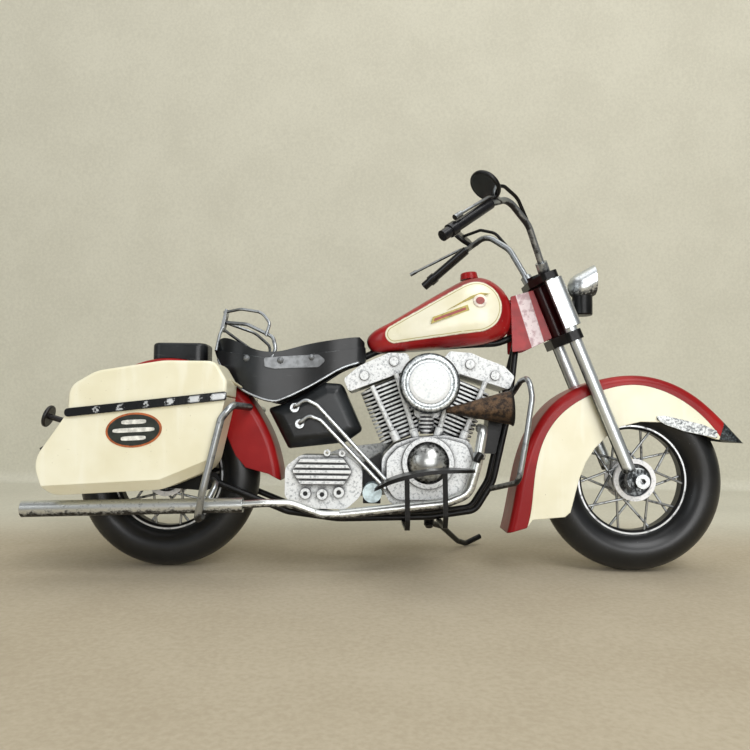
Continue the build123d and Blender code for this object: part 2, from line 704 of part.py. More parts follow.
AIR = Vector(148.1, -27.2, 104.7)
with BuildPart() as air_cleaner:
    with BuildSketch(Plane(origin=AIR, x_dir=(0, -1, 0), z_dir=(1, 0, 0))):
        with BuildLine():
            Polyline((0, 0), (0, 15.4), (1.2, 16.6), (3.4, 16.6))
            ThreePointArc((3.4, 16.6), (6.0, 15.6), (6.6, 13.6))
            Polyline((6.6, 13.6), (5.4, 12.6), (5.4, 11.6), (6.4, 11.0), (6.9, 9.6), (7.1, 0), (0, 0))
        make_face()
    revolve(axis=Axis(AIR, (0, 1, 0)))
save(air_cleaner.part, "air_cleaner")

HORN_TIP = Vector(157.5, -26, 90.0)
with BuildPart() as horn:
    with BuildSketch(Plane(origin=HORN_TIP, x_dir=(1, 0, 0.055), z_dir=(0, -1, 0.0))):
        with BuildLine():
            Polyline(
                (0, 0), (0, 1.3), (35.2, 9.4), (36.4, 10.2), (36.4, 9.4), (35.2, 8.6), (5, 1.5), (5, 0),
                close=True
            )
        make_face()
    revolve(axis=Axis(HORN_TIP, (1, 0, 0.055)))
save(horn.part, "horn")

# ---- footboards, crash bar, covers
board_top = [(118.5, 48.4), (124, 52.4), (134, 56.2), (146, 58.6), (158, 59.4), (170.5, 59.0)]
with BuildPart() as footboard:
    with BuildSketch(side(-36)):
        with BuildLine():
            Spline(*board_top)
            Spline((170.5, 57.6), (158, 57.6), (146, 56.6), (134, 54.0), (124, 50.4), (118.5, 47.2))
            Line(board_top[-1], (170.5, 57.6))
            Line((118.5, 47.2), board_top[0])
        make_face()
    extrude(amount=24)
    with BuildSketch(Plane.XY.offset(40)):
        with BuildLine():
            Spline(
                (118, -46), (124, -38), (140, -36.2), (156, -36.6), (168, -41), (171, -48), (168, -55),
                (156, -59.2),
                (140, -59.8), (124, -56.5), (118, -46), periodic=False,
            )
        make_face()
    extrude(amount=30, mode=Mode.INTERSECT)
save_group(both_sides(footboard.part), "footboards")

brackets = []
for strap_x, top_z, low_z, rail_z in ((135.4, 54.4, 31.6, 29.6), (155.2, 57.6, 34.2, 30.7)):
    with BuildPart() as bracket:
        with BuildLine() as bracket_path:
            FilletPolyline(
                (strap_x, -47, top_z - 0.6), (strap_x + 0.6, -46, low_z), (strap_x + 0.6, -42, rail_z - 2.4),
                (strap_x, -RAIL_Y, rail_z - 2.4), radius=[2.5, 2.5],
            )
        with BuildSketch(Plane(origin=bracket_path.line @ 0, x_dir=(1, 0, 0), z_dir=bracket_path.line % 0)):
            Rectangle(2.6, 1.4)
        sweep()
    brackets += both_sides(bracket.part)
save_group(brackets, "footboard_brackets")

guard_loop = wire(
    [(195.4, -9, 97.5), (198, -30, 106.5), (199.4, -45, 107.5), (201, -45.5, 97), (197.4, -45, 72), (194,
     -44, 52.5),
     (184.8, -9, 46.2)],
    [8, 6, 14, 40, 6], 1.5,
)
save_group(both_sides(guard_loop), "crash_bars")

primary_outline = [(80, 48), (84, 62), (100, 68), (140, 73), (160, 70), (168, 58), (160, 44), (140, 40),
    (100, 38),
                   (86, 40)]
primary = plate(primary_outline, [8, 7, 14, 14, 8, 9, 8, 14, 14, 6], ENGINE_HALF, ENGINE_HALF + 7)
with BuildPart() as primary_cover:
    add(primary)
    fillet(primary_cover.faces().sort_by(Axis.Y)[-1].edges(), 2.5)
save(primary_cover.part, "primary_cover")
save_fused(make_axle(Vector(0, 0, WHEEL_R), 18.4), "rear_axle")

# ---- fork
legs = []
for hand in (-1, 1):
    with BuildPart() as leg:
        with BuildSketch(FORK.offset(-116)):
            with Locations((LEG_OFFSET, hand * LEG_Y)):
                Circle(LEG_R)
        extrude(amount=120)
        fillet(leg.edges(), 0.5)
        with BuildSketch(side(hand * LUG_Y + 2.2)):
            with Locations((FRONT_AXLE.X - 1.6, FRONT_AXLE.Z + 1)):
                Circle(6.4)
            with Locations((FRONT_AXLE.X, FRONT_AXLE.Z)):
                Circle(AXLE_R, mode=Mode.SUBTRACT)
        extrude(amount=4.4)
        with BuildSketch(side(hand * LEG_Y + 8)):
            with Locations((FRONT_AXLE.X, FRONT_AXLE.Z)):
                Circle(AXLE_R)
        extrude(amount=16, mode=Mode.SUBTRACT)
    legs.append(leg.part)
save_group(legs, "fork_legs")
save_fused(make_axle(FRONT_AXLE, LUG_Y + 2.3), "front_axle")


def yoke(low, thick):
    with BuildPart() as bridge:
        with BuildSketch(FORK.offset(low)):
            with BuildLine():
                FilletPolyline(
                    (-7.5, -9), (-7.5, 9), (-2, LEG_Y + 5), (7, LEG_Y + 5), (8.4, 9), (8.4, -9), (7,
                    -LEG_Y - 5),
                    (-2, -LEG_Y - 5),
                    radius=[3, 3, 3.5, 3.5, 3, 3, 3.5, 3.5], close=True,
                )
            make_face()
            with Locations((LEG_OFFSET, LEG_Y), (LEG_OFFSET, -LEG_Y)):
                Circle(LEG_R, mode=Mode.SUBTRACT)
        extrude(amount=thick)
    return bridge.part


with BuildPart() as stem:
    with BuildSketch(FORK.offset(-36)):
        Circle(3.0)
    extrude(amount=42)
    with BuildSketch(FORK.offset(4.4)):
        RegularPolygon(4.6, 6)
    extrude(amount=3)
save_fused([yoke(0.4, 4), yoke(-37, 5.6), stem.part], "fork_yokes")

with BuildPart() as shroud:
    with BuildSketch(FORK.offset(-29)):
        with BuildLine():
            FilletPolyline(
                (-0.9, -LEG_Y - LEG_R - 0.1), (9.4, -LEG_Y - LEG_R - 0.1), (9.4, LEG_Y + LEG_R + 0.1),
                (-0.9, LEG_Y + LEG_R + 0.1), radius=4.2,
            )
            offset(amount=SHEET, side=Side.LEFT)
        make_face()
    extrude(amount=29)
save_group([shroud.part - legs[0] - legs[1]], "fork_shroud")

# ---- headlight
LAMP = Vector(240.0, 0, 164.6)
LAMP_R = 8.1
beam = Vector(cos(radians(30)), 0, sin(radians(30)))
with BuildPart() as bullet:
    with Locations(LAMP):
        Sphere(LAMP_R)
    with BuildSketch(Plane(origin=LAMP, z_dir=beam)):
        Circle(LAMP_R)
    extrude(amount=22)
    with Locations(LAMP):
        Sphere(LAMP_R - SHEET, mode=Mode.SUBTRACT)
    with BuildSketch(Plane(origin=LAMP, z_dir=beam)):
        Circle(LAMP_R - SHEET)
    extrude(amount=24, mode=Mode.SUBTRACT)
    split(bisect_by=Plane(origin=(247.4, 0, 170), z_dir=(1, 0, 0.06)), keep=Keep.BOTTOM)
save(bullet.part, "headlight_shell")
with BuildPart() as lens:
    with BuildSketch(Plane(origin=LAMP + beam * 1.2, z_dir=beam)):
        Circle(LAMP_R - SHEET)
    extrude(amount=1.4)
save(lens.part, "headlight_lens")
with BuildPart() as lamp_cup:
    with BuildSketch(Plane.XY.offset(147.6)):
        with Locations((240.4, 0)):
            Circle(5.9)
    extrude(amount=12.6)
    fillet(lamp_cup.faces().sort_by(Axis.Z)[0].edges(), 1.0)
    with BuildSketch(Plane(origin=(228.3, 0, 153.4), z_dir=(1, 0, 0))):
        Rectangle(5, 5)
    extrude(amount=8.5)
    with Locations(LAMP):
        Sphere(LAMP_R, mode=Mode.SUBTRACT)
save(lamp_cup.part, "headlight_cup")

# ---- handlebars, grips, levers and mirrors
bar_foot = Vector(213.6, -18.6, 169.6)
grip_in = Vector(178.5, -51.4, 199.0)
grip_out = Vector(151.3, -67.4, 176.9)
grip_run = grip_out - grip_in
bar = wire(
    [bar_foot, (202.8, -28.8, 193.6), (189.5, -38.5, 205.3), grip_in, grip_in + grip_run * 0.4], [16, 12,
    5], BAR_R
)
socket = straight(bar_foot - FORK.z_dir * 0.4, bar_foot + Vector(-2.2, -2.2, 4.8), 3.4)
grip = straight(grip_in + grip_run * 0.02, grip_out, GRIP_R)
collar = straight(grip_in + grip_run * 0.74, grip_in + grip_run * 0.86, GRIP_R + 0.7)
grip_solid = (grip + collar) - bar
save_group(both_sides(grip_solid), "grips")

right_lever = wire([(182, -50.0, 202.6), (176.5, -54.5, 201.2), (160, -65.5, 188.6)], [4], 0.8)
right_pivot = straight((184.5, -46, 201.5), (181, -50.4, 202.8), 1.3)
left_lever = wire([(183, 49.6, 201.4), (174, 55.5, 199.6), (143, 71.0, 186.2)], [8], 0.9)
left_pivot = straight((184.5, 46, 201.5), (182, 49.8, 201.8), 1.3)
right_tip = straight((161, -64.8, 189.4), (157.5, -67.2, 186.5), 1.5)
left_tip = straight((146, 69.5, 187.7), (142, 71.5, 185.7), 1.3)
right_bar = socket + bar + right_lever + right_pivot + right_tip
left_bar = socket.mirror(Plane.XZ) + bar.mirror(Plane.XZ) + left_lever + left_pivot + left_tip
save_group([right_bar, left_bar], "handlebars")

MIRROR = Vector(175.0, -53.6, 207.6)
mirror_normal = Vector(-0.57, -0.40, -0.72).normalized()
with BuildPart() as mirror_back:
    with BuildSketch(Plane(origin=MIRROR + mirror_normal * 1.4, z_dir=-mirror_normal)):
        Circle(9.0)
    extrude(amount=3.0)
    fillet(mirror_back.faces().sort_by(Axis.Z)[-1].edges(), 1.3)
    with BuildSketch(Plane(origin=MIRROR + mirror_normal * 1.4, z_dir=-mirror_normal)):
        Circle(7.9)
    extrude(amount=0.7, mode=Mode.SUBTRACT)
stem_rod = wire(
    [(201.4, -30.6, 196.2), (195, -37, 206.5), (186.5, -44.5, 210.4), MIRROR - mirror_normal * 0.6], [12,
     5], 1.0
)
save_group(both_sides(mirror_back.part + stem_rod), "mirrors")
with BuildPart() as glass:
    with BuildSketch(Plane(origin=MIRROR + mirror_normal * 1.1, z_dir=-mirror_normal)):
        Circle(7.9)
    extrude(amount=0.4)
save_group(both_sides(glass.part), "mirror_glass")

# ---- side stand
stand_eye = straight(STAND + STAND_AXIS * 1.7, STAND - STAND_AXIS * 1.7, 3.1)
stand_leg = wire(
    [STAND + Vector(1.5, 1.5, -0.9), (160, 24, 20.5), (172.5, 48, 8.2), (178.5, 55.0, 5.6), (188.5, 60.5, 9.4)],
    [10, 6, 5], 1.7,
)
stand_hole = straight(STAND + STAND_AXIS * 5, STAND - STAND_AXIS * 5, 1.2 + FIT)
save((stand_eye + stand_leg) - stand_hole, "side_stand")
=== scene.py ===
"""Looks of the tin touring motorcycle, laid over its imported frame.

Shapes are written in the upright bike's own millimetres: x ahead of the rear axle, y to the rider's
left, z above the ground. UPRIGHT leans them onto the side stand, in metres.
"""

import json
from math import atan2, cos, hypot, pi, radians, sin

import bmesh
import bpy
from mathutils import Matrix, Vector


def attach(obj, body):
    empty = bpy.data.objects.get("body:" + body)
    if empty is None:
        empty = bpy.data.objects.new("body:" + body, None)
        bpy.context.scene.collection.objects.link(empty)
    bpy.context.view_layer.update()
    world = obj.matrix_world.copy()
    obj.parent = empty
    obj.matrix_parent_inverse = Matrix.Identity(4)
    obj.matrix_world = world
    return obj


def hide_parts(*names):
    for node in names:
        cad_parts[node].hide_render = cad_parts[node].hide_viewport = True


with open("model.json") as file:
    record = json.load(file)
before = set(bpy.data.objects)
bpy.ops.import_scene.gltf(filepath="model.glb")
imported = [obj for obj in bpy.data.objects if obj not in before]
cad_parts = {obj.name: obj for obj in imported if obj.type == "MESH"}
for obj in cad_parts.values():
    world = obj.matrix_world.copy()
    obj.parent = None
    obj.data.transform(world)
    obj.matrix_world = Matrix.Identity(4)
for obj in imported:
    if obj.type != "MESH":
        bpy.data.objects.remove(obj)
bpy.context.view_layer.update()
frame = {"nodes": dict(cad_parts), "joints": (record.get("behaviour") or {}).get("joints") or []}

# ---- places taken from the frame
JOINTS = {joint["name"]: joint for joint in frame["joints"]}
REAR = JOINTS["rear_wheel_spin"]
LEAN = atan2(-REAR["axis"][2], REAR["axis"][1])
WHEEL_R = 52.0
AXLE_GAP = 267.0
UPRIGHT = (
    Matrix.Translation(REAR["pos_m"])
    @ Matrix.Rotation(-LEAN, 4, "X")
    @ Matrix.Translation((0, 0, -WHEEL_R / 1000))
    @ Matrix.Scale(0.001, 4)
)
SIDES = ((-1, "right"), (1, "left"))
MID_X, MID_Y = 126.12, 14.0  # from the rear wheel's foot to the frame's origin, in millimetres

# ---- round covers on the engine's right side: x, z
DOME_CENTRE = (147.8, 61.2)
CLEANER_CENTRE = (148.1, 104.7)

# ---- camera: level, square to the bike's right side
EYE = (118.2, -428.0, 110.8)  # millimetres from the rear wheel's foot, not leaned
FOCAL = 0.988  # lens length over sensor width
ROLL = 0.01134  # radians


# ---- shader building
class Value:
    """A socket of a material being made. Arithmetic on it adds Math nodes."""

    def __init__(self, finish, socket):
        self.finish = finish
        self.socket = socket

    def math(self, operation, *others):
        inputs = dict(enumerate((self, *others)))
        return self.finish.node("Math", {"operation": operation}, inputs)

    def __add__(self, other):
        return self.math("ADD", other)

    def __sub__(self, other):
        return self.math("SUBTRACT", other)

    def __rsub__(self, other):
        return self.finish.node("Math", {"operation": "SUBTRACT"}, {0: other, 1: self})

    def __mul__(self, other):
        return self.math("MULTIPLY", other)

    def __truediv__(self, other):
        return self.math("DIVIDE", other)

    def __rtruediv__(self, other):
        return self.finish.node("Math", {"operation": "DIVIDE"}, {0: other, 1: self})

    def __pow__(self, other):
        return self.math("POWER", other)

    __radd__ = __add__
    __rmul__ = __mul__

    def lower(self, other):
        return self.math("MINIMUM", other)

    def higher(self, other):
        return self.math("MAXIMUM", other)

    def above(self, start, end):
        """0 below start, 1 beyond end, smooth between; end may be the smaller."""
        return self.finish.node(
            "MapRange",
            {"interpolation_type": "SMOOTHSTEP"},
            {"Value": self, "From Min": start, "From Max": end, "To Min": 0.0, "To Max": 1.0},
        )

    def length_with(self, other):
        return (self * self + other * other) ** 0.5


class Finish:
    """One material: its node tree and the masks that all finishes share."""

    def __init__(self, name):
        self.material = bpy.data.materials.new(name)
        self.material.use_nodes = True
        self.tree = self.material.node_tree
        self.tree.nodes.clear()
        upright = UPRIGHT.inverted()
        self.place = self.node(
            "Mapping",
            {},
            {
                "Vector": self.node("TexCoord", {}, {}, "Object"),
                "Location": upright.to_translation(),
                "Rotation": (LEAN, 0, 0),
                "Scale": (1000, 1000, 1000),
            },
        )
        self.x, self.y, self.z = (self.node("SeparateXYZ", {}, {0: self.place}, axis) for axis in "XYZ")

    def node(self, kind, settings, sockets, output=0):
        """Any node: its type, its settings, then the values or links of its sockets."""
        made = self.tree.nodes.new("ShaderNode" + kind)
        for key, value in settings.items():
            setattr(made, key, value)
        for key, value in sockets.items():
            if isinstance(value, Value):
                self.tree.links.new(value.socket, made.inputs[key])
            else:
                made.inputs[key].default_value = value
        return Value(self, made.outputs[output]) if made.outputs else None

    def mix(self, under, over, amount):
        """Colour over on colour under, by amount."""
        colours = [(*c, 1) if isinstance(c, tuple) and len(c) == 3 else c for c in (under, over)]
        sockets = {0: amount, 6: colours[0], 7: colours[1]}
        return self.node("Mix", {"data_type": "RGBA"}, sockets, 2)

    def noise(self, size, detail=4.0, rough=0.55, stretch=(1, 1, 1), shift=0.0):
        """Noise with features about this many millimetres across."""
        place = self.node(
            "Mapping",
            {},
            {"Vector": self.place, "Scale": [s / size for s in stretch], "Location": (shift,) * 3},
        )
        return self.node(
            "TexNoise", {}, {"Vector": place, "Scale": 1.0, "Detail": detail, "Roughness": rough}
        )

    def patches(self, size, share, soft=0.06, **more):
        """Mask of scattered patches that cover about this share of the surface."""
        cut = 0.5 + 0.26 * (0.5 - share) * 2
        return self.noise(size, **more).above(cut - soft, cut + soft)

    def crease(self, reach):
        """1 deep in a crease or against a neighbour, 0 in the open: ambient occlusion, which the finishes use
        to paint shade into their colour.
        """
        open_air = self.node("AmbientOcclusion", {"samples": 6}, {"Distance": reach / 1000}, "AO")
        return 1.0 - open_air

    def edge(self, reach):
        """1 on an edge or corner, 0 on the flat."""
        rounded = self.node("Bevel", {"samples": 4}, {"Radius": reach / 1000})
        flat = self.node("NewGeometry", {}, {}, "Normal")
        along = self.node("VectorMath", {"operation": "DOT_PRODUCT"}, {0: rounded, 1: flat}, "Value")
        return (1.0 - along).above(0.02, 0.22)

    def normal_part(self, axis):
        """One component of the surface's own direction."""
        return self.node("SeparateXYZ", {}, {0: self.node("NewGeometry", {}, {}, "Normal")}, axis)

    def bump(self, height, strength=0.3, distance=0.2, rounding=0.0):
        """Normal from a height in millimetres, over softened edges where rounding is given."""
        sockets = {"Height": height, "Strength": strength, "Distance": distance / 1000}
        if rounding:
            sockets["Normal"] = self.node("Bevel", {"samples": 4}, {"Radius": rounding / 1000})
        return self.node("Bump", {}, sockets)

    def shade(self, colour, roughness, **sockets):
        """Closes the tree with one Principled shader and gives the material."""
        named = {
            key.replace("_", " ").title().replace("Ior", "IOR"): value for key, value in sockets.items()
        }
        shader = self.node(
            "BsdfPrincipled",
            {},
            {
                "Base Color": (*colour, 1) if isinstance(colour, tuple) else colour,
                "Roughness": roughness,
                **named,
            },
        )
        self.node("OutputMaterial", {}, {"Surface": shader})
        return self.material


# ---- enamels
def red_enamel():
    f = Finish("red_enamel")
    tone = f.noise(38, detail=3)
    colour = f.mix((0.25, 0.007, 0.008), (0.36, 0.014, 0.013), tone.above(0.35, 0.65))
    edge = f.edge(0.9)
    worn = edge * f.patches(3.2, 0.55, shift=4)
    colour = f.mix(colour, (0.020, 0.006, 0.006), worn * 0.8)
    # pale pink on some edges: painted highlight
    colour = f.mix(colour, (0.70, 0.52, 0.48), edge * f.patches(2.2, 0.10, shift=9) * 0.8)
    # dark red in creases and against neighbours: painted shade
    colour = f.mix(colour, (0.04, 0.003, 0.003), f.crease(3.5).above(0.25, 0.9) * 0.75)
    colour = f.mix(colour, (0.13, 0.005, 0.005), f.patches(1.3, 0.10, detail=2) * 0.25)
    ripple = f.noise(9, detail=2) * 0.8 + f.noise(0.9, detail=3) * 0.12
    return f.shade(
        colour, 0.26 + f.noise(12) * 0.16, specular_ior_level=0.18, coat_weight=0.10, coat_roughness=0.16,
        normal=f.bump(ripple, 0.35, 0.5, rounding=0.6),
    )


def cream_enamel():
    f = Finish("cream_enamel")
    tone = f.noise(30, detail=3)
    colour = f.mix((0.80, 0.755, 0.54), (0.88, 0.85, 0.66), tone.above(0.3, 0.7))
    drip = f.noise(16, detail=2, stretch=(2.2, 1, 0.35), shift=3).above(0.52, 0.72)
    colour = f.mix(colour, (0.91, 0.89, 0.73), drip * 0.5)
    edge = f.edge(0.8)
    chips = edge * f.patches(1.8, 0.12, soft=0.03, shift=2)
    # darker in creases and against neighbours: painted shade
    colour = f.mix(colour, (0.50, 0.45, 0.26), f.crease(5).above(0.2, 0.95) * 0.75)
    # darker yellow on about half the edges: painted shade
    colour = f.mix(colour, (0.60, 0.55, 0.33), edge * f.patches(5, 0.5) * 0.45)
    colour = f.mix(colour, (0.05, 0.035, 0.02), chips)
    colour = f.mix(colour, (0.35, 0.30, 0.18), f.patches(0.9, 0.012, soft=0.02, detail=2, shift=7))
    ripple = f.noise(14, detail=2) + f.noise(1.1, detail=3) * 0.1
    return f.shade(
        colour, 0.30 + f.noise(9) * 0.16, coat_weight=0.25, coat_roughness=0.2,
        normal=f.bump(ripple, 0.3, 0.6, rounding=0.7),
    )


def satin_charcoal():
    f = Finish("satin_charcoal")
    cloud = f.noise(26, detail=5)
    colour = f.mix((0.004, 0.0045, 0.005), (0.018, 0.021, 0.023), cloud.above(0.35, 0.7))
    colour = f.mix(colour, (0.26, 0.29, 0.29), f.edge(0.6) * f.patches(4, 0.32) * 0.8)
    scratch = f.noise(1.6, detail=3, stretch=(0.2, 0.2, 1.6), shift=5).above(0.66, 0.72)
    colour = f.mix(colour, (0.08, 0.09, 0.09), scratch * 0.3)
    ripple = f.noise(7, detail=3) + f.noise(0.7, detail=2) * 0.15
    return f.shade(
        colour, 0.30 + cloud * 0.2, specular_ior_level=0.28, coat_weight=0.2, coat_roughness=0.22,
        normal=f.bump(ripple, 0.3, 0.4, rounding=0.6),
    )


def black_iron():
    f = Finish("black_iron")
    colour = f.mix((0.003, 0.003, 0.0032), (0.010, 0.010, 0.010), f.noise(8).above(0.4, 0.7))
    colour = f.mix(colour, (0.22, 0.22, 0.21), f.edge(0.4) * f.patches(2.4, 0.25) * 0.6)
    return f.shade(
        colour, 0.24 + f.noise(3) * 0.2, specular_ior_level=0.25,
        normal=f.bump(f.noise(1.2, detail=4), 0.3, 0.2),
    )


def tyre_black():
    f = Finish("tyre_black")
    colour = f.mix((0.0028, 0.003, 0.0033), (0.008, 0.009, 0.010), f.noise(20).above(0.35, 0.7))
    nick = f.patches(1.1, 0.02, soft=0.02, detail=2)
    colour = f.mix(colour, (0.14, 0.15, 0.15), nick * 0.6)
    colour = f.mix(colour, (0.04, 0.036, 0.028), f.z.above(4, 0) * f.patches(2, 0.5) * 0.6)
    ripple = f.noise(0.8, detail=3) * 0.3 + f.noise(10, detail=2)
    return f.shade(
        colour, 0.36 + f.noise(9) * 0.1, specular_ior_level=0.4, coat_weight=0.25, coat_roughness=0.25,
        normal=f.bump(ripple, 0.15, 0.3),
    )


def wheel_radius(f, centre_x):
    """Distance from the axle of the wheel at centre_x, in the side view."""
    return (f.x - centre_x).length_with(f.z - WHEEL_R)


def rim_black(name, centre_x):
    """Black rim with its outer lip worn bright."""
    f = Finish(name)
    lip = wheel_radius(f, centre_x).above(30.2, 30.5) * f.y.math("ABSOLUTE").above(4.2, 4.5)
    bright = lip * f.noise(7).above(0.30, 0.48)
    colour = f.mix((0.004, 0.004, 0.0045), (0.66, 0.68, 0.69), bright)
    return f.shade(
        colour, 0.26 + f.noise(3) * 0.2, metallic=bright * 0.9,
        normal=f.bump(f.noise(2), 0.2, 0.2, rounding=0.3),
    )


def hub_face(name, centre_x):
    """White flange round a dark turned recess."""
    f = Finish(name)
    radius = wheel_radius(f, centre_x)
    flange = radius.above(9.0, 9.5)
    turned = (radius * 9).math("SINE") * 0.5 + 0.5
    grain = f.noise(2, detail=6, rough=0.7)
    white = f.mix((0.62, 0.64, 0.65), (0.92, 0.92, 0.92), grain.above(0.34, 0.52))
    steel = f.mix((0.03, 0.032, 0.034), (0.32, 0.34, 0.35), grain.above(0.42, 0.62) * (turned * 0.6 + 0.4))
    colour = f.mix(steel, white, flange)
    # darker in creases and against neighbours: painted shade
    colour = f.mix(colour, (0.012, 0.012, 0.013), f.crease(1.6).above(0.3, 0.85) * 0.85)
    return f.shade(colour, 0.34 + grain * 0.15, metallic=(1.0 - flange) * 0.7, normal=f.bump(grain, 0.3, 0.2))


def spoke_wire(name):
    """Dark wire with a painted highlight on its near flank."""
    f = Finish(name)
    # painted highlight on the flank turned to the near side
    near = f.normal_part("Y").above(-0.35, -0.85) * f.noise(4).above(0.28, 0.52)
    colour = f.mix((0.006, 0.006, 0.0065), (0.46, 0.48, 0.49), near)
    return f.shade(colour, 0.3, metallic=near * 0.85, normal=f.bump(f.noise(1), 0.1, 0.1))


# ---- metals
def cast_silver(name="cast_silver", deep=None):
    """White-silvered casting: stains and painted shade darken its creases, painted shade turns it black past
    a given depth, and painted highlight brightens its edges.
    """
    f = Finish(name)
    grain = f.noise(1.5, detail=6, rough=0.7)
    colour = f.mix((0.36, 0.38, 0.39), (0.80, 0.82, 0.82), grain.above(0.34, 0.52))
    # crease: painted shade in creases and against neighbours; the stains gather there too
    crease = f.crease(3.6).above(0.12, 0.46)
    stain = f.patches(0.9, 0.16, detail=5, shift=6) * (crease * 0.6 + 0.4)
    stain_and_shade = (stain * 0.8 + crease).lower(1.0)
    # past the given depth from the middle: painted shade, black between the fins
    if deep:
        painted_shade_behind = (f.y.math("ABSOLUTE") + (f.noise(3) - 0.5) * 2).above(deep, deep - 2.5)
        stain_and_shade = stain_and_shade.higher(painted_shade_behind)
    colour = f.mix(colour, (0.008, 0.008, 0.009), stain_and_shade)
    # pale on edges that are not darkened: painted highlight
    colour = f.mix(colour, (0.94, 0.94, 0.93), f.edge(0.5) * (1.0 - stain_and_shade) * 0.6)
    pits = grain + f.noise(0.6, detail=2) * 0.3
    return f.shade(
        colour, 0.34 + f.noise(3) * 0.2, metallic=(1.0 - stain_and_shade) * 0.12,
        normal=f.bump(pits, 0.45, 0.25, rounding=0.45),
    )


def pewter(
    name="pewter", bright=(0.60, 0.63, 0.64), dark=(0.02, 0.022, 0.023), share=0.62, size=1.6,
    stretch=(1, 1, 1),
):
    """Silver over black, mottled, with painted shade: bright above and on the outer flank, dark beneath, on
    faces turned to front and back, and in creases.
    """
    f = Finish(name)
    mottle = f.noise(size, detail=7, rough=0.72, stretch=stretch)
    # painted shade: darker on faces turned down, on faces turned to front and back, and in creases
    under = f.normal_part("Z").above(0.05, -0.75)
    inner = f.normal_part("Y").math("ABSOLUTE").above(0.45, 0.0) * f.normal_part("Z").above(0.6, 0.0)
    cut = 0.44 - (share - 0.5) * 0.3
    # the mottle less that painted shade
    mottle_less_shade = mottle - under * 0.26 - inner * 0.10 - f.crease(2.2) * 0.30
    mottle_and_light = mottle_less_shade.above(cut - 0.16, cut + 0.07)
    colour = f.mix(dark, bright, mottle_and_light)
    return f.shade(
        colour, 0.30 + (1.0 - mottle_and_light) * 0.15, metallic=0.3 + mottle_and_light * 0.6,
        normal=f.bump(mottle, 0.22, 0.15, rounding=0.35),
    )


def bar_steel():
    """Plated wire, smooth and grey, black where it dips and at its bends: painted shade."""
    return pewter("bar_steel", (0.40, 0.42, 0.43), (0.012, 0.012, 0.013), 0.60, 7.0)


def fork_silver():
    """Fork leg with painted reflection: bright along its outer flank, dark on its front and back."""
    f = Finish("fork_silver")
    grain = f.noise(1.2, detail=6, rough=0.72, stretch=(1, 1, 0.5))
    # painted reflection: the flank turned to the near side is bright, the rest goes dark
    flank = f.normal_part("Y").above(-0.10, -0.72)
    mottle_and_light = (flank + (grain - 0.5) * 0.9).above(0.30, 0.62)
    colour = f.mix((0.010, 0.012, 0.013), (0.72, 0.76, 0.77), mottle_and_light)
    colour = f.mix(colour, (0.05, 0.06, 0.062), f.patches(1.0, 0.12, shift=3) * 0.5)
    lug = f.mix((0.015, 0.017, 0.018), (0.28, 0.30, 0.31), grain.above(0.44, 0.66))
    colour = f.mix(colour, lug, f.z.above(60.0, 58.0))
    return f.shade(
        colour, 0.26 + grain * 0.14, metallic=0.3 + mottle_and_light * 0.55, normal=f.bump(grain, 0.25, 0.12)
    )


def exhaust_pewter():
    return pewter("exhaust_pewter", (0.66, 0.68, 0.66), (0.016, 0.014, 0.012), 0.62, 1.8, (0.6, 1, 1))


def fender_metal():
    """Rubbed strip along the mudguard's flank; its pointed tip nearly black."""
    f = Finish("fender_metal")
    grain = f.noise(1.4, detail=6, rough=0.7)
    tip = f.x.above(311.6, 313.2)
    strip = f.mix((0.10, 0.11, 0.12), (0.74, 0.77, 0.77), grain.above(0.38, 0.56))
    point = f.mix((0.008, 0.010, 0.011), (0.10, 0.13, 0.14), grain.above(0.48, 0.66))
    colour = f.mix(strip, point, tip)
    return f.shade(colour, 0.3 + grain * 0.15, metallic=0.35, normal=f.bump(grain, 0.4, 0.25, rounding=0.4))


def horn_rust():
    f = Finish("horn_rust")
    blotch = f.noise(3.4, detail=6, rough=0.7)
    colour = f.mix((0.014, 0.008, 0.005), (0.13, 0.075, 0.038), blotch.above(0.38, 0.60))
    colour = f.mix(colour, (0.24, 0.17, 0.10), f.patches(1.4, 0.2, shift=3) * 0.45)
    # darker at the front end, on edges, and on faces turned down; on faces turned down it is painted shade
    under = f.normal_part("Z").above(-0.1, -0.8)
    rim = f.x.above(191.5, 193.2) + f.edge(0.5) + under * 0.6
    colour = f.mix(colour, (0.008, 0.006, 0.005), (rim * f.patches(3, 0.8)).lower(1.0))
    return f.shade(
        colour, 0.42 + blotch * 0.25, metallic=0.35, normal=f.bump(blotch + f.noise(0.9) * 0.4, 0.6, 0.4)
    )


def chrome_strip():
    """Black bead with regular bright blotches, partly plating that shows and partly painted highlight on the
    beads, more of them towards the front.
    """
    f = Finish("chrome_strip")
    pitch = 12.6
    centre = f.z - f.x * 0.119 - 90.9
    wave = ((f.x + 3.5 + (f.noise(9, detail=2) - 0.5) * 2) * (2 * pi / pitch)).math("SINE")
    front = f.x.above(2, 34)
    # bright blotches: partly plating that shows, partly painted highlight on the beads
    plating_and_glint = (wave * 0.9 + front * 1.0 + (f.noise(1.3, detail=4) - 0.5) * 2.6).above(0.62, 1.15)
    band = centre.math("ABSOLUTE").above(2.0, 0.9)
    plating_and_glint = plating_and_glint * band * f.x.above(-33, -29)
    colour = f.mix((0.006, 0.007, 0.008), (0.84, 0.87, 0.88), plating_and_glint)
    return f.shade(colour, 0.26, metallic=plating_and_glint * 0.5, normal=f.bump(f.noise(2), 0.3, 0.3, rounding=0.5))


